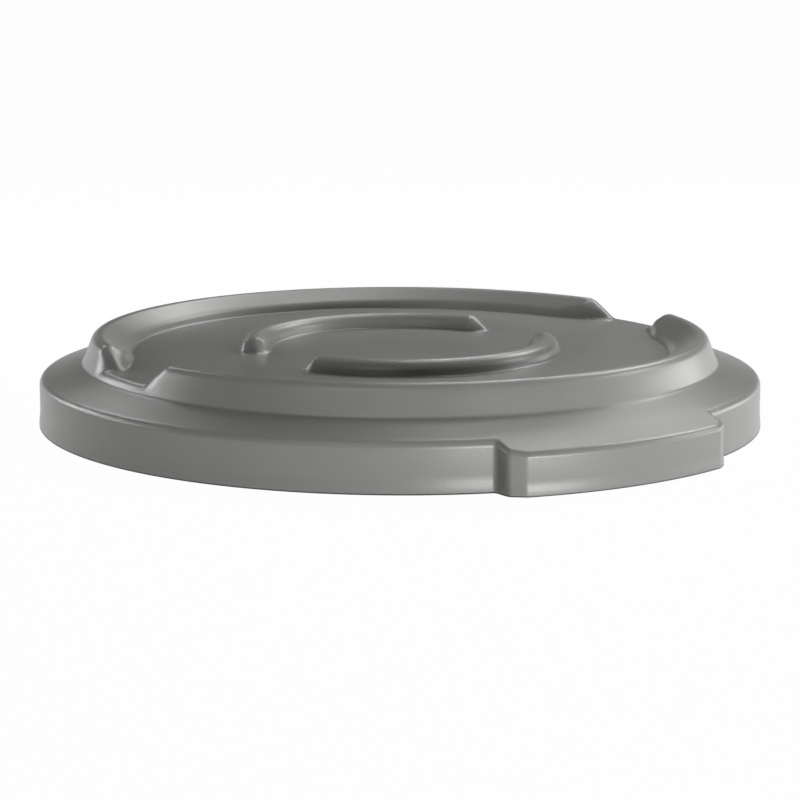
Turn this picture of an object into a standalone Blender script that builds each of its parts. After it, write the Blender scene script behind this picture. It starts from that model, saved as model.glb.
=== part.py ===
"""Round press-on lid of a waste container, one polyethylene moulding divided along its own lines.

Lengths are metres and angles degrees. Z is up, z = 0 is the skirt's bottom edge, and the Z axis is the
lid's axis. The handle covers face -Y (front) and +Y (back), and the ridge's drain gaps face -X (left)
and +X (right).
"""
import math

import bmesh
import bpy
from mathutils import Matrix, Vector

# Walls, the seams between pieces, and how finely round forms are stepped
WALL = 0.0032
SEAM = 0.0004
TURN_STEP = 5.0
END_STEPS = 8
FILLET_STEPS = 3
SHARP_ANGLE = 35.0

# Skirt and its bottom lip
LID_RADIUS = 0.2825
LIP_PROUD = 0.0009
LIP_HEIGHT = 0.011
SKIRT_HEIGHT = 0.036
EDGE_FILLET = 0.006
EDGE_MARGIN = 0.0096

# Sloping ledge
LEDGE_WIDTH = 0.0333
LEDGE_RISE = 0.0105
FOOT_MARGIN = 0.004
FOOT_FILLET = 0.003

# Deck
DECK_STEP = 0.0065

# Stacking ridge: its two slopes would meet at a peak, which the crest fillet rounds off, and the inner
# slope bends at a knee
RIDGE_WIDTH = 0.0378
PEAK_INSET = 0.0099
PEAK_RISE = 0.0256
CREST_FILLET = 0.0078
KNEE_RUN = 0.004
KNEE_RISE = 0.0063
KNEE_FILLET = 0.012
RIDGE_FOOT_FILLET = 0.003
RIDGE_MARGIN = 0.007

# Ends of the ridge, from the tip of a nose beside the drain gap to where the ridge has its full height
GAP_HALF_ANGLE = 6.0
RIDGE_FULL_ANGLE = 12.6
RIDGE_TIP_INSET = 0.0153
RIDGE_INNER_NOSE_ANGLE = 12.5
RIDGE_OUTER_NOSE_ANGLE = 3.4
SHORTEST_RAMP_ANGLE = 3.0

# Centre ribs, a little outside halfway between the axis and the ridge
RIB_OFFSET = 0.0093
RIB_WIDTH = 0.0236
RIB_TOP_WIDTH = 0.0154
RIB_HEIGHT = 0.0113
RIB_CREST_FILLET = 0.0105
RIB_FOOT_FILLET = 0.003
RIB_MARGIN = 0.003
RIB_GAP_HALF_ANGLE = 18.0
RIB_FULL_ANGLE = 25.0
RIB_NOSE_ANGLE = 4.5

# Handle covers: a face, a chamfer at each of its ends, and a steep end wall down to the skirt
COVER_DEPTH = 0.018
COVER_HALF_ANGLE = 16.35
COVER_CHAMFER_DEPTH = 0.0045
COVER_CHAMFER_ANGLE = 2.3
COVER_WALL_ANGLE = 1.1
COVER_MARGIN_ANGLE = 4.5

# Ring that bears on the container's rim
SEAT_INSET = 0.013
SEAT_WIDTH = 0.005
SEAT_DROP = 0.0035

# Snap lugs: a hook above, a land at the tip and a lead-in slope below
LUG_DEPTH = 0.003
LUG_HEIGHT = 0.007
LUG_HOOK = 0.001
LUG_LAND = 0.002
LUG_BASE = 0.005
LUG_ANGLE = 10.0
LUGS_PER_SIDE = 4
LUG_SPACING = 30.0

# Sizes that follow from the driving ones
SKIRT_RADIUS = LID_RADIUS - LIP_PROUD
SKIRT_INSIDE = SKIRT_RADIUS - WALL
FOOT_RADIUS = SKIRT_RADIUS - LEDGE_WIDTH
FOOT_HEIGHT = SKIRT_HEIGHT + LEDGE_RISE
LEDGE_SLOPE = LEDGE_RISE / LEDGE_WIDTH
LEDGE_WALL = WALL * math.hypot(1.0, LEDGE_SLOPE)
DECK_HEIGHT = FOOT_HEIGHT + DECK_STEP
RIDGE_INNER_FOOT = FOOT_RADIUS - RIDGE_WIDTH
DECK_EDGE = RIDGE_INNER_FOOT - RIDGE_MARGIN
LEDGE_START = FOOT_RADIUS + FOOT_MARGIN
LEDGE_END = SKIRT_RADIUS - EDGE_MARGIN
SILL_RADIUS = FOOT_RADIUS - DECK_STEP * PEAK_INSET / PEAK_RISE
RIB_RADIUS = RIDGE_INNER_FOOT / 2 + RIB_OFFSET
RIB_BAND = RIB_WIDTH / 2 + RIB_MARGIN
RIB_INSIDE = RIB_RADIUS - RIB_BAND
RIB_OUTSIDE = RIB_RADIUS + RIB_BAND
COVER_WALL_DEPTH = COVER_DEPTH - COVER_CHAMFER_DEPTH
COVER_FOOT_ANGLE = COVER_HALF_ANGLE + COVER_CHAMFER_ANGLE + COVER_WALL_ANGLE
COVER_SEAM_ANGLE = COVER_FOOT_ANGLE + COVER_MARGIN_ANGLE
COVER_WALL_BEND = math.atan2(COVER_WALL_DEPTH, math.radians(COVER_WALL_ANGLE) * SKIRT_RADIUS)
COVER_INSIDE_ANGLE = math.degrees(WALL * math.tan(COVER_WALL_BEND / 2) / SKIRT_RADIUS)

# Angles of the sides, about +Z from +X
RIGHT = 0.0
BACK = 90.0
LEFT = 180.0
FRONT = 270.0


def ledge_height(radius):
    """Height of the ledge's sloping top at a radius."""
    return SKIRT_HEIGHT + (SKIRT_RADIUS - radius) * LEDGE_SLOPE


def moulded_plastic(name, colour, roughness):
    """A plain grey polyethylene."""
    material = bpy.data.materials.new(name)
    material.use_nodes = True
    shader = material.node_tree.nodes["Principled BSDF"]
    shader.inputs["Base Color"].default_value = (*colour, 1.0)
    shader.inputs["Roughness"].default_value = roughness
    shader.inputs["Metallic"].default_value = 0.0
    return material


def rounded(corners):
    """Points of a bent line of (radius, height, fillet) corners, each fillet an arc.

    Where two fillets would meet, they share the line between them.
    """
    points = [Vector(corner[:2]) for corner in corners]
    halves = [(one - two).angle(three - two) / 2 for one, two, three in zip(points, points[1:], points[2:])]
    runs = [0.0] + [corner[2] / math.tan(half) for corner, half in zip(corners[1:], halves)] + [0.0]
    bent = [points[0]]
    for index, half in enumerate(halves, 1):
        point = points[index]
        run = runs[index]
        if run < SEAM:
            bent.append(point)
            continue
        spokes = []
        for beside in (index - 1, index + 1):
            line = points[beside] - point
            run = min(run, (line.length - SEAM) * runs[index] / (runs[index] + runs[beside]))
            spokes.append(line.normalized())
        centre = (spokes[0] + spokes[1]).normalized() * run / math.cos(half)
        start = spokes[0] * run - centre
        end = spokes[1] * run - centre
        for step in range(FILLET_STEPS + 1):
            bent.append(point + centre + start.slerp(end, step / FILLET_STEPS) * run * math.tan(half))
    bent.append(points[-1])
    return bent


def offset_under(corners):
    """The bent line one wall below a bent line that runs outwards, cut off at the same two radii."""
    below = []
    normals = []
    for one, two in zip(corners, corners[1:]):
        run = (Vector(two[:2]) - Vector(one[:2])).normalized()
        normals.append(Vector((run.y, -run.x)))
    for index, (radius, height, fillet) in enumerate(corners):
        one = normals[max(index - 1, 0)]
        two = normals[min(index, len(normals) - 1)]
        if index in (0, len(corners) - 1):
            below.append((radius, height + WALL / one.y, 0.0))
            continue
        move = (one + two) * WALL / (1 + one.dot(two))
        hollow = one.cross(two) > 0
        inner_fillet = fillet + WALL if hollow else fillet - WALL
        below.append((radius + move.x, height + move.y, max(inner_fillet, 0.0)))
    return below


def turned(section, start, sweeps, under_count=0, whole=False):
    """A closed section turned about Z from an angle, through sweeps of (degrees, steps).

    The last under_count points of the section are its underside, and their vertices are marked so.
    A whole turn is merged where it meets itself, and any other is closed by a face at each end.
    """
    bm = bmesh.new()
    under = bm.verts.layers.int.new("under")
    verts = [bm.verts.new((point[0], 0.0, point[1])) for point in section]
    for vert in verts[len(verts) - under_count:]:
        vert[under] = 1
    face = bm.faces.new(verts)
    axis = {"cent": (0.0, 0.0, 0.0), "axis": (0.0, 0.0, 1.0)}
    bmesh.ops.rotate(bm, verts=verts, cent=axis["cent"], matrix=Matrix.Rotation(math.radians(start), 3, "Z"))
    geom = list(face.edges) + verts
    if whole:
        bm.faces.remove(face)
    else:
        geom.append(face)
    for sweep, steps in sweeps:
        spun = bmesh.ops.spin(bm, geom=geom, angle=math.radians(sweep), steps=steps, use_merge=whole, **axis)
        geom = spun["geom_last"]
    bmesh.ops.recalc_face_normals(bm, faces=bm.faces)
    return bm


def add_piece(name, bm, material):
    """Make a finished bmesh a named object."""
    mesh = bpy.data.meshes.new(name)
    bm.to_mesh(mesh)
    bm.free()
    mesh.materials.append(material)
    mesh.shade_smooth()
    mesh.set_sharp_from_angle(angle=math.radians(SHARP_ANGLE))
    piece = bpy.data.objects.new(name, mesh)
    bpy.context.scene.collection.objects.link(piece)
    return piece


def steps_of(sweep):
    """How many turning steps a sweep takes."""
    return max(1, round(sweep / TURN_STEP))


def add_ring(name, section, material):
    """A section turned all the way round."""
    add_piece(name, turned(section, RIGHT, [(360.0, steps_of(360.0))], whole=True), material)


def shell_section(corners):
    """A wall's closed section under a bent line, with the count of its underside points."""
    under = rounded(offset_under(corners))
    return rounded(corners) + under[::-1], len(under)


def seam_angle(radius):
    """Half a seam, as an angle at a radius."""
    return math.degrees(SEAM / 2 / radius)


def lower_ends(bm, tip_radius, edges, tip_angle, noses, full_angle):
    """Let a raised band run down to the deck in a rounded nose at both ends of its arc.

    Angles are measured from +X and from -X. The nose's tip is at tip_radius and tip_angle, at the band's
    two edges the nose stands back by noses, and from full_angle on the band has its full height.
    """
    under = bm.verts.layers.int["under"]
    for vert in bm.verts:
        floor = DECK_HEIGHT - WALL * vert[under]
        if vert.co.z <= floor:
            continue
        radius = vert.co.xy.length
        side = radius > tip_radius
        across = min((radius - tip_radius) / (edges[side] - tip_radius), 1.0)
        start = tip_angle + noses[side] * across ** 1.5
        away = math.degrees(math.atan2(abs(vert.co.y), abs(vert.co.x)))
        share = (away - start) / max(full_angle - start, SHORTEST_RAMP_ANGLE)
        vert.co.z = floor + (vert.co.z - floor) * min(max(share, 0.0), 1.0)


def arc_sweeps(half_gap, end_angle):
    """Sweeps of a half circle less its gaps, with finer steps where the ends run down."""
    middle = 180.0 - 2.0 * (half_gap + end_angle)
    return [(end_angle, END_STEPS), (middle, steps_of(middle)), (end_angle, END_STEPS)]


def add_deck(material):
    """Flat disc and ring of the deck."""
    under = DECK_HEIGHT - WALL
    edge = RIB_INSIDE - SEAM / 2
    bm = bmesh.new()
    bmesh.ops.create_circle(bm, cap_ends=True, radius=edge, segments=steps_of(360.0))
    bmesh.ops.translate(bm, verts=bm.verts, vec=(0.0, 0.0, under))
    raised = bmesh.ops.extrude_face_region(bm, geom=bm.faces[:])["geom"]
    moved = [item for item in raised if isinstance(item, bmesh.types.BMVert)]
    bmesh.ops.translate(bm, verts=moved, vec=(0.0, 0.0, WALL))
    bmesh.ops.recalc_face_normals(bm, faces=bm.faces)
    add_piece("deck_centre", bm, material)

    inner = RIB_OUTSIDE + SEAM / 2
    outer = DECK_EDGE - SEAM / 2
    section = [(inner, DECK_HEIGHT), (outer, DECK_HEIGHT), (outer, under), (inner, under)]
    add_ring("deck_field", section, material)


def add_centre_ribs(material):
    """Two raised arc ribs of the deck, and the flat webs between their ends."""
    inner = RIB_INSIDE + SEAM / 2
    outer = RIB_OUTSIDE - SEAM / 2
    foot = RIB_WIDTH / 2
    top = RIB_TOP_WIDTH / 2
    crest = DECK_HEIGHT + RIB_HEIGHT
    corners = [
        (inner, DECK_HEIGHT, 0.0),
        (RIB_RADIUS - foot, DECK_HEIGHT, RIB_FOOT_FILLET),
        (RIB_RADIUS - top, crest, RIB_CREST_FILLET),
        (RIB_RADIUS + top, crest, RIB_CREST_FILLET),
        (RIB_RADIUS + foot, DECK_HEIGHT, RIB_FOOT_FILLET),
        (outer, DECK_HEIGHT, 0.0),
    ]
    section, under_count = shell_section(corners)
    gap = RIB_GAP_HALF_ANGLE + seam_angle(RIB_RADIUS)
    sweeps = arc_sweeps(gap, RIB_FULL_ANGLE - gap)
    edges = (RIB_RADIUS - foot, RIB_RADIUS + foot)
    noses = (RIB_NOSE_ANGLE, RIB_NOSE_ANGLE)
    for name, side in (("front", LEFT), ("back", RIGHT)):
        bm = turned(section, side + gap, sweeps, under_count)
        lower_ends(bm, RIB_RADIUS, edges, RIB_GAP_HALF_ANGLE, noses, RIB_FULL_ANGLE)
        add_piece("centre_rib_" + name, bm, material)

    under = DECK_HEIGHT - WALL
    flat = [(inner, DECK_HEIGHT), (outer, DECK_HEIGHT), (outer, under), (inner, under)]
    web = RIB_GAP_HALF_ANGLE - seam_angle(RIB_RADIUS)
    for name, side in (("right", RIGHT), ("left", LEFT)):
        bm = turned(flat, side - web, [(2.0 * web, steps_of(2.0 * web))])
        add_piece("deck_web_" + name, bm, material)


def add_stacking_ridge(material):
    """Two raised, hollow arcs round the deck, and the sills in the gaps between their ends."""
    inner = DECK_EDGE + SEAM / 2
    outer = LEDGE_START - SEAM / 2
    feet = [(FOOT_RADIUS, FOOT_HEIGHT, FOOT_FILLET), (outer, ledge_height(outer), 0.0)]
    corners = [
        (inner, DECK_HEIGHT, 0.0),
        (RIDGE_INNER_FOOT, DECK_HEIGHT, RIDGE_FOOT_FILLET),
        (RIDGE_INNER_FOOT + KNEE_RUN, DECK_HEIGHT + KNEE_RISE, KNEE_FILLET),
        (FOOT_RADIUS - PEAK_INSET, FOOT_HEIGHT + PEAK_RISE, CREST_FILLET),
        (SILL_RADIUS, DECK_HEIGHT, 0.0),
    ]
    section, under_count = shell_section(corners + feet)
    gap = GAP_HALF_ANGLE + seam_angle(FOOT_RADIUS)
    sweeps = arc_sweeps(gap, RIDGE_INNER_NOSE_ANGLE + SHORTEST_RAMP_ANGLE)
    edges = (RIDGE_INNER_FOOT, SILL_RADIUS)
    noses = (RIDGE_INNER_NOSE_ANGLE, RIDGE_OUTER_NOSE_ANGLE)
    for name, side in (("front", LEFT), ("back", RIGHT)):
        bm = turned(section, side + gap, sweeps, under_count)
        lower_ends(bm, FOOT_RADIUS - RIDGE_TIP_INSET, edges, GAP_HALF_ANGLE, noses, RIDGE_FULL_ANGLE)
        add_piece("stacking_ridge_" + name, bm, material)

    sill = [(inner, DECK_HEIGHT, 0.0), (SILL_RADIUS, DECK_HEIGHT, FOOT_FILLET)] + feet
    section = shell_section(sill)[0]
    half = GAP_HALF_ANGLE - seam_angle(FOOT_RADIUS)
    for name, side in (("right", RIGHT), ("left", LEFT)):
        bm = turned(section, side - half, [(2.0 * half, steps_of(2.0 * half))])
        add_piece("drain_sill_" + name, bm, material)


def add_rim_ledge(material):
    """Sloping ring between the ridge and the skirt."""
    inner = LEDGE_START + SEAM / 2
    outer = LEDGE_END - SEAM / 2
    section = [
        (inner, ledge_height(inner)),
        (outer, ledge_height(outer)),
        (outer, ledge_height(outer) - LEDGE_WALL),
        (inner, ledge_height(inner) - LEDGE_WALL),
    ]
    add_ring("rim_ledge", section, material)


def skirt_section():
    """Closed section of the rounded edge, the skirt and its bottom lip."""
    inner = LEDGE_END + SEAM / 2
    edge = [
        (inner, ledge_height(inner), 0.0),
        (SKIRT_RADIUS, SKIRT_HEIGHT, EDGE_FILLET),
        (SKIRT_RADIUS, LIP_HEIGHT, 0.0),
    ]
    inside_corner = ledge_height(SKIRT_INSIDE) - LEDGE_WALL
    inside = [
        (SKIRT_INSIDE, 0.0, 0.0),
        (SKIRT_INSIDE, inside_corner, EDGE_FILLET - WALL),
        (inner, ledge_height(inner) - LEDGE_WALL, 0.0),
    ]
    lip = [Vector((LID_RADIUS, LIP_HEIGHT - LIP_PROUD)), Vector((LID_RADIUS, 0.0))]
    return rounded(edge) + lip + rounded(inside)


def cover_reach(away):
    """How far a handle cover stands out of the skirt, at an angle from its middle."""
    wall = min(max((COVER_FOOT_ANGLE - away) / COVER_WALL_ANGLE, 0.0), 1.0)
    chamfer = min(max((COVER_FOOT_ANGLE - COVER_WALL_ANGLE - away) / COVER_CHAMFER_ANGLE, 0.0), 1.0)
    return COVER_WALL_DEPTH * wall + COVER_CHAMFER_DEPTH * chamfer


def step_out(bm, side):
    """Push the skirt out into a handle cover, its top running on down the ledge's slope.

    Inside the skirt the end walls start later, so that they keep the wall's thickness.
    """
    for vert in bm.verts:
        radius = vert.co.xy.length
        if radius < LEDGE_END + SEAM:
            continue
        angle = math.degrees(math.atan2(vert.co.y, vert.co.x)) - side
        away = abs((angle + 180.0) % 360.0 - 180.0)
        inside = vert.co.z < ledge_height(radius) - LEDGE_WALL / 2 and radius < SKIRT_RADIUS - WALL / 2
        out = cover_reach(away + COVER_INSIDE_ANGLE if inside else away)
        vert.co.xy *= (radius + out) / radius
        vert.co.z *= 1.0 - out * LEDGE_SLOPE / SKIRT_HEIGHT


def add_skirt(material):
    """Two long skirts and, between them, the two handle covers."""
    section = skirt_section()
    seam = COVER_SEAM_ANGLE + seam_angle(SKIRT_RADIUS)
    sweep = 180.0 - 2.0 * seam
    for name, side in (("right", FRONT), ("left", BACK)):
        bm = turned(section, side + seam, [(sweep, steps_of(sweep))])
        add_piece("skirt_" + name, bm, material)

    margin = COVER_MARGIN_ANGLE - seam_angle(SKIRT_RADIUS)
    start = COVER_FOOT_ANGLE + margin
    later = COVER_INSIDE_ANGLE
    end = [margin, later, COVER_WALL_ANGLE - later, later, COVER_CHAMFER_ANGLE - later, later]
    middle = 2.0 * (COVER_HALF_ANGLE - later)
    sweeps = [(angle, steps_of(angle)) for angle in end + [middle] + end[::-1]]
    for name, side in (("front", FRONT), ("back", BACK)):
        bm = turned(section, side - start, sweeps)
        step_out(bm, side)
        add_piece("handle_cover_" + name, bm, material)


def add_rim_seat(material):
    """Low ring under the ledge, flat below, that bears on the container's rim."""
    outer = SKIRT_RADIUS - SEAT_INSET
    inner = outer - SEAT_WIDTH
    under = LEDGE_WALL + SEAM
    bottom = ledge_height(outer) - under - SEAT_DROP
    section = [
        (inner, ledge_height(inner) - under),
        (outer, ledge_height(outer) - under),
        (outer, bottom),
        (inner, bottom),
    ]
    add_ring("rim_seat_ring", section, material)


def add_snap_lugs(material):
    """Lugs inside the skirt that hook under the container's rim, with a lead-in slope below."""
    wall = SKIRT_INSIDE - SEAM
    tip = wall - LUG_DEPTH
    top = LUG_BASE + LUG_HEIGHT
    section = [(wall, LUG_BASE), (wall, top), (tip, top - LUG_HOOK), (tip, top - LUG_HOOK - LUG_LAND)]
    count = 0
    for side in (RIGHT, LEFT):
        for place in range(LUGS_PER_SIDE):
            count += 1
            middle = side + (place - (LUGS_PER_SIDE - 1) / 2) * LUG_SPACING
            bm = turned(section, middle - LUG_ANGLE / 2, [(LUG_ANGLE, steps_of(LUG_ANGLE))])
            add_piece(f"snap_lug_{count}", bm, material)


def main():
    for old in list(bpy.data.objects):
        bpy.data.objects.remove(old, do_unlink=True)
    outer = moulded_plastic("grained_polyethylene", (0.2, 0.2, 0.195), 0.5)
    inner = moulded_plastic("smooth_polyethylene", (0.2, 0.2, 0.195), 0.4)
    add_deck(outer)
    add_centre_ribs(outer)
    add_stacking_ridge(outer)
    add_rim_ledge(outer)
    add_skirt(outer)
    add_rim_seat(inner)
    add_snap_lugs(inner)


main()
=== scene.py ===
"""Looks of a round press-on lid for a waste container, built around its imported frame.

Lengths are metres and angles degrees. The lid's axis is Z, its handle covers face -Y and +Y, and the drain
gaps in its stacking ridge face -X and +X.
"""
import math

import bmesh
import bpy
from mathutils import Matrix, Quaternion, Vector


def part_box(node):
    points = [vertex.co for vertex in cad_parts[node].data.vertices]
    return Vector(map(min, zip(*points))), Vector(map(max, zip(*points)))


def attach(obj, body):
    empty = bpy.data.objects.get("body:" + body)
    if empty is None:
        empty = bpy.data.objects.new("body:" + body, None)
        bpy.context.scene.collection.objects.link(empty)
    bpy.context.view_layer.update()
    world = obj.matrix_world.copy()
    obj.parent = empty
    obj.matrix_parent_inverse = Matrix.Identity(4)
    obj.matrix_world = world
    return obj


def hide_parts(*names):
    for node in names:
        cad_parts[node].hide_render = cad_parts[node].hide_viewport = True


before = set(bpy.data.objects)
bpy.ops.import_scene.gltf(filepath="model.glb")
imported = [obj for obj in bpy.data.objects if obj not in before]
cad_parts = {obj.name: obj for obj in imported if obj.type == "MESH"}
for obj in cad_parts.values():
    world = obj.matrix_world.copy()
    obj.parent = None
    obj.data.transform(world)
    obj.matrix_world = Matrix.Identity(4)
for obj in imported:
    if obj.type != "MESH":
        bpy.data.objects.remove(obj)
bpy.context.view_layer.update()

# Sizes read from the frame
LID_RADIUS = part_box("skirt_right")[1].x
DECK_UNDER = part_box("deck_field")[0].z
DECK_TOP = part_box("deck_field")[1].z
RIB_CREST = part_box("centre_rib_front")[1].z
LEDGE_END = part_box("rim_ledge")[1].x
SEAT_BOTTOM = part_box("rim_seat_ring")[0].z
SEAT_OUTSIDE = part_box("rim_seat_ring")[1].x
WALL = DECK_TOP - DECK_UNDER

# Half section of the moulding: the solids' sizes, with the softer roundings that the real moulding shows
LIP_PROUD = 0.0009
LIP_HEIGHT = 0.011
LIP_BLEND = 0.008
LIP_BEND = 0.05
LIP_ROUND = 0.0011
SKIRT_HEIGHT = 0.036
EDGE_ROUND = 0.006
LEDGE_WIDTH = 0.0333
LEDGE_RISE = 0.0105
FOOT_ROUND = 0.0035
PEAK_INSET = 0.0099
PEAK_RISE = 0.0256
CREST_ROUND = 0.0078
KNEE_RUN = 0.004
KNEE_RISE = 0.0063
KNEE_ROUND = 0.012
RIDGE_WIDTH = 0.0378
RIDGE_FOOT_ROUND = 0.003
SILL_ROUND = 0.008
RIB_OFFSET = 0.0093
RIB_WIDTH = 0.0236
RIB_TOP_WIDTH = 0.0154
RIB_CREST_ROUND = 0.0105
RIB_FOOT_ROUND = 0.003

SKIRT_RADIUS = LID_RADIUS - LIP_PROUD
SKIRT_INSIDE = SKIRT_RADIUS - WALL
LEDGE_SLOPE = LEDGE_RISE / LEDGE_WIDTH
LEDGE_WALL = WALL * math.hypot(1.0, LEDGE_SLOPE)
FOOT_RADIUS = SKIRT_RADIUS - LEDGE_WIDTH
FOOT_HEIGHT = SKIRT_HEIGHT + LEDGE_RISE
RIDGE_INNER_FOOT = FOOT_RADIUS - RIDGE_WIDTH
SILL_RADIUS = FOOT_RADIUS - (DECK_TOP - FOOT_HEIGHT) * PEAK_INSET / PEAK_RISE
RIB_RADIUS = RIDGE_INNER_FOOT / 2 + RIB_OFFSET

# Angles from the drain gaps' axis, where the ridge and the ribs end in rounded noses
RIDGE_TIP_INSET = 0.0153
RIDGE_TIP = 6.0
RIDGE_INNER_NOSE = 12.5
RIDGE_OUTER_NOSE = 3.4
RIDGE_FULL = 12.6
RIB_TIP = 18.0
RIB_NOSE = 4.5
RIB_FULL = 25.0
SHORTEST_RAMP = 3.0
RAMP_ROUND = 0.16

# How a nose bends back from its tip to its edges, and the share of a rib's width to each side that it can lower
NOSE_POWER = 1.5
RIB_REACH = 0.75

# Handle covers: a face, a chamfer at each of its ends and a steep end wall, as angles from their own axis
COVER_DEPTH = 0.018
COVER_FACE = 16.35
COVER_CHAMFER_DEPTH = 0.0045
COVER_CHAMFER = 2.3
COVER_WALL = 1.1
COVER_ROUND = 0.3

# Ring under the ledge
SEAT_WIDTH = 0.005
SEAT_STEPS = 240

# Snap lugs inside the skirt, whose ends fade to a least share of their depth
LUG_DEPTH = 0.003
LUG_BASE = 0.005
LUG_HEIGHT = 0.007
LUG_HOOK = 0.001
LUG_LAND = 0.002
LUG_ANGLE = 10.0
LUG_ROUND = 0.0007
LUG_COUNT = 8
LUG_FIRST = -45.0
LUG_SPACING = 30.0
LUG_STEPS = 16
LUG_FADE = 1.25
LUG_LEAST = 0.15

# How finely the moulding is stepped
ARC_STEPS = 7
LONG_RUN = 0.003
MERGE = 0.00001

# Polyethylene. Its grain is drawn at 1.6 mm, coarser than the real one of about 0.2 mm, which wouldn't show
REFRACTION = 1.51
MOTTLE_SIZE = 0.035
GRAIN_SIZE = 0.0016

# Camera: the photograph's angle, distance and lens
CAMERA_AZIMUTH = -33.0
CAMERA_ELEVATION = 11.19
CAMERA_DISTANCE = 1.8532
CAMERA_LENS = 105.2
SENSOR_WIDTH = 36.0
CAMERA_ROLL = 0.11
AIM_HEIGHT = 0.0117

# Sines of the heights in the surround up to which it is white, and from which it is dark
HORIZON_WHITE = 0.05
HORIZON_DARK = 0.15

# Floor: its half width, the gap under the lid, and how much of it is plain white rather than lit paint
FLOOR_HALF = 40.0
FLOOR_DROP = 0.0004
FLOOR_WHITE = 0.98

# Softboxes at one distance: name, angle to the right of the camera, elevation, width, height, power in watts
LAMP_DISTANCE = 2.2
SOFTBOXES = (
    ("front_softbox", 30.0, 4.3, 1.3, 0.2, 35.5),
    ("front_top_softbox", -20.0, 45.0, 0.8, 0.5, 3.0),
    ("right_low_softbox", 104.0, 9.0, 2.0, 0.5, 16.5),
    ("right_softbox", 100.0, 32.0, 0.8, 0.5, 9.5),
    ("back_right_softbox", 141.0, 42.0, 0.6, 0.6, 11.5),
    ("back_softbox", 170.0, 38.0, 0.5, 0.45, 5.6),
    ("back_top_softbox", 162.0, 62.0, 0.6, 0.5, 5.5),
    ("back_left_softbox", -146.0, 36.0, 0.4, 0.4, 3.8),
    ("left_softbox", -98.0, 20.0, 0.9, 0.5, 9.0),
    ("left_tall_softbox", -121.0, 20.0, 0.5, 0.7, 10.0),
)

SHELL_NODES = (
    "deck_centre", "deck_field", "deck_web_left", "deck_web_right",
    "centre_rib_front", "centre_rib_back", "stacking_ridge_front", "stacking_ridge_back",
    "drain_sill_left", "drain_sill_right", "rim_ledge", "skirt_left", "skirt_right",
    "handle_cover_front", "handle_cover_back",
)


def rounded(corners):
    """Points of a bent line of (radius, height, rounding) corners, each rounding an arc."""
    points = [Vector(corners[0][:2])]
    for before, corner, after in zip(corners, corners[1:], corners[2:]):
        point = Vector(corner[:2])
        back = Vector(before[:2]) - point
        ahead = Vector(after[:2]) - point
        half = back.angle(ahead) / 2
        run = corner[2] / math.tan(half)
        start = back.normalized() * run
        end = ahead.normalized() * run
        centre = (start + end).normalized() * run / math.cos(half)
        for step in range(ARC_STEPS + 1):
            spoke = (start - centre).slerp(end - centre, step / ARC_STEPS)
            points.append(point + centre + spoke * run * math.tan(half))
    points.append(Vector(corners[-1][:2]))
    return points


def one_wall_under(corners):
    """The bent line one wall below a bent line that runs outwards from the axis."""
    normals = []
    for one, two in zip(corners, corners[1:]):
        run = (Vector(two[:2]) - Vector(one[:2])).normalized()
        normals.append(Vector((run.y, -run.x)))
    below = [(corners[0][0], corners[0][1] - WALL, 0.0)]
    for (radius, height, rounding), one, two in zip(corners[1:], normals, normals[1:]):
        move = (one + two) * WALL / (1 + one.dot(two))
        # The inside of a tight bend keeps at least a quarter of the rounding
        hollow = one.cross(two) > 0
        inner = rounding + WALL if hollow else max(rounding - WALL, rounding / 4)
        below.append((radius + move.x, height + move.y, inner))
    return below


def divided(points):
    """The same line with its long straight runs divided, where the ridge's noses need them."""
    line = [points[0]]
    for one, two in zip(points, points[1:]):
        run = abs(two.x - one.x) if two.x > RIDGE_INNER_FOOT else 0.0
        parts = max(1, math.ceil(run / LONG_RUN))
        line += [one.lerp(two, part / parts) for part in range(1, parts + 1)]
    return line


def top_corners():
    """Corners of the moulding's upper side, from its axis out to the skirt."""
    foot = RIB_WIDTH / 2
    crest = RIB_TOP_WIDTH / 2
    return [
        (0.0, DECK_TOP, 0.0),
        (RIB_RADIUS - foot, DECK_TOP, RIB_FOOT_ROUND),
        (RIB_RADIUS - crest, RIB_CREST, RIB_CREST_ROUND),
        (RIB_RADIUS + crest, RIB_CREST, RIB_CREST_ROUND),
        (RIB_RADIUS + foot, DECK_TOP, RIB_FOOT_ROUND),
        (RIDGE_INNER_FOOT, DECK_TOP, RIDGE_FOOT_ROUND),
        (RIDGE_INNER_FOOT + KNEE_RUN, DECK_TOP + KNEE_RISE, KNEE_ROUND),
        (FOOT_RADIUS - PEAK_INSET, FOOT_HEIGHT + PEAK_RISE, CREST_ROUND),
        (FOOT_RADIUS, FOOT_HEIGHT, FOOT_ROUND),
        (SKIRT_RADIUS, SKIRT_HEIGHT, EDGE_ROUND),
        (SKIRT_RADIUS, 0.0, 0.0),
    ]


def half_section():
    """The moulding's upper line and its lower line, which meet round the bottom of the skirt."""
    top = top_corners()
    upper = top[:-1] + [
        (SKIRT_RADIUS, LIP_HEIGHT, LIP_BEND),
        (LID_RADIUS, LIP_HEIGHT - LIP_BLEND, LIP_BEND),
        (LID_RADIUS, 0.0, LIP_ROUND),
        ((LID_RADIUS + SKIRT_INSIDE) / 2, 0.0, 0.0),
    ]
    under = one_wall_under(top) + [
        (SKIRT_INSIDE, 0.0, LIP_ROUND),
        ((LID_RADIUS + SKIRT_INSIDE) / 2, 0.0, 0.0),
    ]
    return divided(rounded(upper)), divided(rounded(under))


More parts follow.
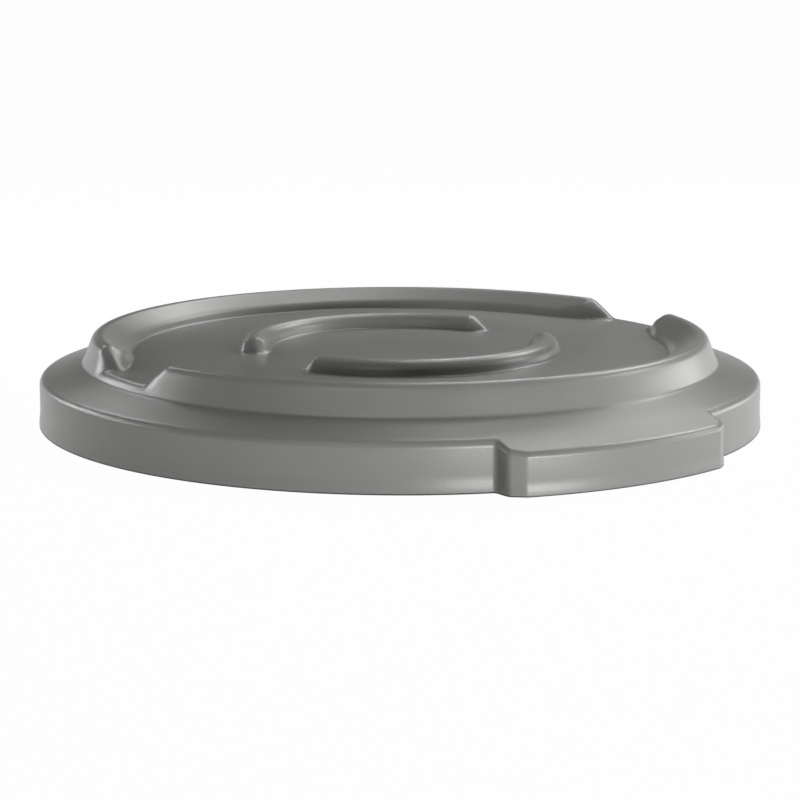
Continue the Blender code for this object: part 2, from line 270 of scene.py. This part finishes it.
def quarter_sweeps():
    """Turns of (degrees, steps) from a drain gap to a handle cover, finest at the noses and the cover's end."""
    ridge_rise = RIDGE_FULL - RIDGE_TIP
    rib_rise = RIB_FULL - RIB_TIP
    stops = [
        (RIDGE_TIP - ridge_rise * RAMP_ROUND, 3),
        (RIDGE_FULL + ridge_rise * RAMP_ROUND, 26),
        (RIB_TIP - rib_rise * RAMP_ROUND, 5),
        (RIB_FULL + rib_rise * RAMP_ROUND, 14),
        (90.0 - COVER_FACE - COVER_CHAMFER - COVER_WALL - 2.0 * COVER_ROUND, 22),
        (90.0 - COVER_FACE + 3.0 * COVER_ROUND, 28),
        (90.0, 11),
    ]
    starts = [0.0] + [angle for angle, steps in stops]
    return [(angle - start, steps) for start, (angle, steps) in zip(starts, stops)]


def soft_ramp(along, rounding):
    """A ramp from 0 to 1 whose two bends are rounded."""
    if along > 0.5:
        return 1.0 - soft_ramp(1.0 - along, rounding)
    if along <= -rounding:
        return 0.0
    return along if along >= rounding else (along + rounding) ** 2 / (4.0 * rounding)


def nose_share(radius, away, tip_radius, edges, tip, noses, full):
    """How much of its height a raised band has, at a radius and an angle from the drain gaps' axis.

    The band's end is a nose with its tip at tip_radius, and stands back by noses at the band's two edges.
    """
    side = radius > tip_radius
    across = min((radius - tip_radius) / (edges[side] - tip_radius), 1.0)
    start = tip + noses[side] * across ** NOSE_POWER
    return soft_ramp((away - start) / max(full - start, SHORTEST_RAMP), RAMP_ROUND)


def height_on(line, radius):
    """Height of an outward line at a radius."""
    if radius <= line[0].x:
        return line[0].y
    for one, two in zip(line, line[1:]):
        if one.x <= radius <= two.x:
            return one.y + (two.y - one.y) * (radius - one.x) / (two.x - one.x)
    return line[-1].y


def lower_noses(bm, under):
    """Run the ridge and the ribs down to the deck at their ends, over a rounded sill in the ridge's gaps."""
    sill = rounded([
        (RIDGE_INNER_FOOT, DECK_TOP, 0.0),
        (SILL_RADIUS, DECK_TOP, SILL_ROUND),
        (FOOT_RADIUS, FOOT_HEIGHT, 0.0),
    ])
    ridge_tip = FOOT_RADIUS - RIDGE_TIP_INSET
    ridge_edges = (RIDGE_INNER_FOOT, SILL_RADIUS)
    ridge_noses = (RIDGE_INNER_NOSE, RIDGE_OUTER_NOSE)
    rib_edges = (RIB_RADIUS - RIB_WIDTH / 2, RIB_RADIUS + RIB_WIDTH / 2)
    rib_noses = (RIB_NOSE, RIB_NOSE)
    rib_reach = RIB_WIDTH * RIB_REACH
    for vert in bm.verts:
        radius = vert.co.xy.length
        away = math.degrees(math.atan2(abs(vert.co.y), abs(vert.co.x)))
        if abs(radius - RIB_RADIUS) < rib_reach:
            floor = DECK_UNDER if vert[under] else DECK_TOP
            share = nose_share(radius, away, RIB_RADIUS, rib_edges, RIB_TIP, rib_noses, RIB_FULL)
        elif RIDGE_INNER_FOOT - WALL * 2 < radius < FOOT_RADIUS:
            floor = DECK_UNDER if vert[under] else height_on(sill, radius)
            share = nose_share(radius, away, ridge_tip, ridge_edges, RIDGE_TIP, ridge_noses, RIDGE_FULL)
        else:
            continue
        if vert.co.z > floor:
            vert.co.z = floor + (vert.co.z - floor) * share


def cover_reach(away):
    """How far a handle cover stands out of the skirt, at an angle from its middle."""
    corner = COVER_FACE + COVER_CHAMFER
    wall = soft_ramp((corner + COVER_WALL - away) / COVER_WALL, COVER_ROUND / COVER_WALL)
    chamfer = soft_ramp((corner - away) / COVER_CHAMFER, COVER_ROUND / COVER_CHAMFER)
    return (COVER_DEPTH - COVER_CHAMFER_DEPTH) * wall + COVER_CHAMFER_DEPTH * chamfer


def step_out_covers(bm):
    """Push the skirt out into the handle covers, their tops running on down the ledge's slope.

    What lies further in starts its end walls later, so that they keep the wall's thickness and round over
    at the top.
    """
    bend = math.atan2(COVER_DEPTH - COVER_CHAMFER_DEPTH, math.radians(COVER_WALL) * SKIRT_RADIUS)
    for vert in bm.verts:
        radius = vert.co.xy.length
        if radius < LEDGE_END:
            continue
        away = math.degrees(math.atan2(abs(vert.co.x), abs(vert.co.y)))
        later = math.degrees(max(SKIRT_RADIUS - radius, 0.0) * math.tan(bend / 2) / SKIRT_RADIUS)
        out = cover_reach(away + later)
        reach = min((radius - LEDGE_END) / (EDGE_ROUND / 2), 1.0)
        vert.co.xy *= (radius + out * reach) / radius
        vert.co.z *= 1.0 - out * reach * LEDGE_SLOPE / SKIRT_HEIGHT


def add_piece(name, bm, material, slot, *nodes):
    """Make a finished bmesh a smooth piece that rides on the lid and stands for CAD nodes."""
    mesh = bpy.data.meshes.new(name)
    bm.to_mesh(mesh)
    bm.free()
    mesh.materials.append(material)
    mesh.shade_smooth()
    piece = bpy.data.objects.new(name, mesh)
    bpy.context.scene.collection.objects.link(piece)
    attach(piece, "root")
    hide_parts(*nodes)
    return piece


def spin_line(bm, verts, edges, start, sweeps):
    """Turn a line about Z from an angle, through sweeps of (degrees, steps)."""
    axis = {"cent": (0.0, 0.0, 0.0), "axis": (0.0, 0.0, 1.0)}
    turn = Matrix.Rotation(math.radians(start), 3, "Z")
    bmesh.ops.rotate(bm, verts=verts, cent=axis["cent"], matrix=turn)
    geom = verts + edges
    for sweep, steps in sweeps:
        geom = bmesh.ops.spin(bm, geom=geom, angle=math.radians(sweep), steps=steps, **axis)["geom_last"]


def add_moulding(material):
    """The whole moulding as one skin of even wall: deck, ribs, ridge, ledge, skirt and covers."""
    upper, lower = half_section()
    bm = bmesh.new()
    under = bm.verts.layers.int.new("under")
    verts = [bm.verts.new((point.x, 0.0, point.y)) for point in upper]
    for point in reversed(lower[:-1]):
        verts.append(bm.verts.new((point.x, 0.0, point.y)))
        verts[-1][under] = 1
    edges = [bm.edges.new(pair) for pair in zip(verts, verts[1:])]
    spin_line(bm, verts, edges, 0.0, quarter_sweeps())
    lower_noses(bm, under)
    step_out_covers(bm)
    for axis in "XY":
        bmesh.ops.mirror(bm, geom=bm.verts[:] + bm.edges[:] + bm.faces[:], axis=axis, merge_dist=MERGE)
    bmesh.ops.remove_doubles(bm, verts=bm.verts, dist=MERGE)
    bmesh.ops.recalc_face_normals(bm, faces=bm.faces)
    add_piece("lid_moulding", bm, material, "moulded_shell", *SHELL_NODES)


def ledge_under(radius):
    """Height of the ledge's underside at a radius."""
    return SKIRT_HEIGHT + (SKIRT_RADIUS - radius) * LEDGE_SLOPE - LEDGE_WALL


def add_rim_seat(material):
    """Low ring under the ledge, its lower edges rounded, that bears on the container's rim."""
    inside = SEAT_OUTSIDE - SEAT_WIDTH
    line = rounded([
        (inside, ledge_under(inside) + LIP_ROUND, 0.0),
        (inside, SEAT_BOTTOM, LIP_ROUND),
        (SEAT_OUTSIDE, SEAT_BOTTOM, LIP_ROUND),
        (SEAT_OUTSIDE, ledge_under(SEAT_OUTSIDE) + LIP_ROUND, 0.0),
    ])
    bm = bmesh.new()
    verts = [bm.verts.new((point.x, 0.0, point.y)) for point in line]
    edges = [bm.edges.new(pair) for pair in zip(verts, verts[1:] + verts[:1])]
    spin_line(bm, verts, edges, 0.0, [(360.0, SEAT_STEPS)])
    bmesh.ops.remove_doubles(bm, verts=bm.verts, dist=MERGE)
    bmesh.ops.recalc_face_normals(bm, faces=bm.faces)
    add_piece("rim_bearing_ring", bm, material, "inner_features", "rim_seat_ring")


def add_snap_lugs(material):
    """Hooks inside the skirt, with a lead-in slope below and ends that fade into the wall."""
    root = SKIRT_INSIDE + LUG_ROUND
    tip = SKIRT_INSIDE - LUG_DEPTH
    top = LUG_BASE + LUG_HEIGHT
    line = rounded([
        (root, LUG_BASE, 0.0),
        (tip, top - LUG_HOOK - LUG_LAND, LUG_ROUND),
        (tip, top - LUG_HOOK, LUG_ROUND),
        (root, top, 0.0),
    ])
    for number in range(LUG_COUNT):
        half, place = divmod(number, LUG_COUNT // 2)
        middle = half * 180.0 + LUG_FIRST + place * LUG_SPACING
        bm = bmesh.new()
        verts = [bm.verts.new((point.x, 0.0, point.y)) for point in line]
        face = bm.faces.new(verts)
        spin_line(bm, verts, list(face.edges) + [face], middle - LUG_ANGLE / 2, [(LUG_ANGLE, LUG_STEPS)])
        for vert in bm.verts:
            radius = vert.co.xy.length
            angle = math.degrees(math.atan2(vert.co.y, vert.co.x))
            away = abs((angle - middle + 180.0) % 360.0 - 180.0)
            full = soft_ramp((LUG_ANGLE / 2 - away) / LUG_FADE, RAMP_ROUND)
            depth = LUG_LEAST + (1.0 - LUG_LEAST) * full
            vert.co.xy *= (root + (radius - root) * depth) / radius
        bmesh.ops.recalc_face_normals(bm, faces=bm.faces)
        add_piece(f"snap_hook_{number + 1}", bm, material, "inner_features", f"snap_lug_{number + 1}")


def linear(hex_colour):
    """An sRGB hex colour as linear red, green, blue and alpha."""
    channels = [int(hex_colour[place:place + 2], 16) / 255 for place in (1, 3, 5)]
    return (*[c / 12.92 if c <= 0.04045 else ((c + 0.055) / 1.055) ** 2.4 for c in channels], 1.0)


def add_node(tree, kind, inputs=None, **settings):
    """Add a node with its settings. An input is a value, or a socket to link."""
    node = tree.nodes.new(kind)
    for name, value in settings.items():
        setattr(node, name, value)
    for name, value in (inputs or {}).items():
        if isinstance(value, bpy.types.NodeSocket):
            tree.links.new(value, node.inputs[name])
        else:
            node.inputs[name].default_value = value
    return node


def moulded_polyethylene(name, colour, pale, roughness, grain_height):
    """Injection-moulded polyethylene: a satin grey, faintly mottled, with a fine spark-eroded grain."""
    material = bpy.data.materials.new(name)
    material.use_nodes = True
    tree = material.node_tree
    shader = tree.nodes["Principled BSDF"]
    place = add_node(tree, "ShaderNodeTexCoord").outputs["Object"]
    mottle = add_node(tree, "ShaderNodeTexNoise", {"Vector": place, "Scale": 1 / MOTTLE_SIZE, "Detail": 4.0})
    tint = add_node(tree, "ShaderNodeMix", {"Factor": mottle.outputs["Fac"]}, data_type="RGBA")
    tint.inputs["A"].default_value = linear(colour)
    tint.inputs["B"].default_value = linear(pale)
    tree.links.new(tint.outputs["Result"], shader.inputs["Base Color"])
    grain = add_node(tree, "ShaderNodeTexNoise", {"Vector": place, "Scale": 1 / GRAIN_SIZE, "Detail": 2.0})
    bump = add_node(tree, "ShaderNodeBump", {"Height": grain.outputs["Fac"], "Distance": grain_height})
    tree.links.new(bump.outputs["Normal"], shader.inputs["Normal"])
    shader.inputs["Roughness"].default_value = roughness
    shader.inputs["IOR"].default_value = REFRACTION
    return material


def around(angle, elevation, distance):
    """A place at an angle to the right of the camera's side of the lid, seen from its axis."""
    turn = math.radians(CAMERA_AZIMUTH + angle)
    rise = math.radians(elevation)
    flat = math.cos(rise)
    return Vector((math.sin(turn) * flat, -math.cos(turn) * flat, math.sin(rise))) * distance


def add_camera():
    """The photograph's camera, rolled by a hair."""
    data = bpy.data.cameras.new("photo_camera")
    data.lens = CAMERA_LENS
    data.sensor_width = SENSOR_WIDTH
    camera = bpy.data.objects.new("photo_camera", data)
    bpy.context.scene.collection.objects.link(camera)
    camera.location = around(0.0, CAMERA_ELEVATION, CAMERA_DISTANCE)
    aim = Vector((0.0, 0.0, AIM_HEIGHT)) - camera.location
    roll = Quaternion((0.0, 0.0, 1.0), math.radians(CAMERA_ROLL))
    camera.rotation_euler = (aim.to_track_quat("-Z", "Y") @ roll).to_euler()
    bpy.context.scene.camera = camera


def add_softbox(name, angle, elevation, width, height, power):
    """A softbox that faces the lid."""
    data = bpy.data.lights.new(name, "AREA")
    data.shape = "RECTANGLE"
    data.size = width
    data.size_y = height
    data.energy = power
    lamp = bpy.data.objects.new(name, data)
    bpy.context.scene.collection.objects.link(lamp)
    lamp.location = around(angle, elevation, LAMP_DISTANCE)
    lamp.rotation_euler = (-lamp.location).to_track_quat("-Z", "Y").to_euler()


def seen_directly(tree):
    """1 for rays that show the background: camera, glossy and transmission rays."""
    rays = add_node(tree, "ShaderNodeLightPath")
    first = add_node(tree, "ShaderNodeMath", operation="MAXIMUM")
    tree.links.new(rays.outputs["Is Camera Ray"], first.inputs[0])
    tree.links.new(rays.outputs["Is Glossy Ray"], first.inputs[1])
    both = add_node(tree, "ShaderNodeMath", operation="MAXIMUM")
    tree.links.new(first.outputs[0], both.inputs[0])
    tree.links.new(rays.outputs["Is Transmission Ray"], both.inputs[1])
    return both.outputs[0]


def add_floor():
    """Pale floor: white to the eye, with a small share left to take the lid's soft shadow."""
    bm = bmesh.new()
    bmesh.ops.create_grid(bm, x_segments=1, y_segments=1, size=FLOOR_HALF)
    bmesh.ops.translate(bm, verts=bm.verts, vec=(0.0, 0.0, -FLOOR_DROP))
    mesh = bpy.data.meshes.new("studio_floor")
    bm.to_mesh(mesh)
    bm.free()
    floor = bpy.data.objects.new("studio_floor", mesh)
    bpy.context.scene.collection.objects.link(floor)
    material = bpy.data.materials.new("white_floor")
    material.use_nodes = True
    tree = material.node_tree
    tree.nodes.remove(tree.nodes["Principled BSDF"])
    paint = add_node(tree, "ShaderNodeBsdfDiffuse", {"Color": linear("#E4E4E4")})
    white = add_node(tree, "ShaderNodeEmission", {"Color": (1.0, 1.0, 1.0, 1.0), "Strength": 1.0})
    share = add_node(tree, "ShaderNodeMath", {0: seen_directly(tree), 1: FLOOR_WHITE}, operation="MULTIPLY")
    parts = {0: share.outputs[0], 1: paint.outputs[0], 2: white.outputs[0]}
    mix = add_node(tree, "ShaderNodeMixShader", parts)
    tree.links.new(mix.outputs[0], tree.nodes["Material Output"].inputs["Surface"])
    mesh.materials.append(material)


def add_world():
    """Studio surround: white along the horizon, and dark above it."""
    world = bpy.data.worlds.new("studio")
    bpy.context.scene.world = world
    world.use_nodes = True
    tree = world.node_tree
    direction = add_node(tree, "ShaderNodeTexCoord").outputs["Generated"]
    height = add_node(tree, "ShaderNodeSeparateXYZ", {"Vector": direction}).outputs["Z"]
    limits = {
        "Value": height, "From Min": HORIZON_WHITE, "From Max": HORIZON_DARK, "To Min": 1.0, "To Max": 0.0,
    }
    fade = add_node(tree, "ShaderNodeMapRange", limits, interpolation_type="SMOOTHSTEP")
    light = tree.nodes["Background"]
    light.inputs["Color"].default_value = (1.0, 1.0, 1.0, 1.0)
    tree.links.new(fade.outputs["Result"], light.inputs["Strength"])


def main():
    shell = moulded_polyethylene("moulded_grey_polyethylene", "#7A7A78", "#80807E", 0.34, 0.00006)
    inner = moulded_polyethylene("smooth_grey_polyethylene", "#787876", "#7E7E7C", 0.36, 0.00002)
    add_moulding(shell)
    add_rim_seat(inner)
    add_snap_lugs(inner)
    add_camera()
    add_floor()
    add_world()
    for softbox in SOFTBOXES:
        add_softbox(*softbox)
    bpy.context.scene.view_settings.view_transform = "Standard"


main()
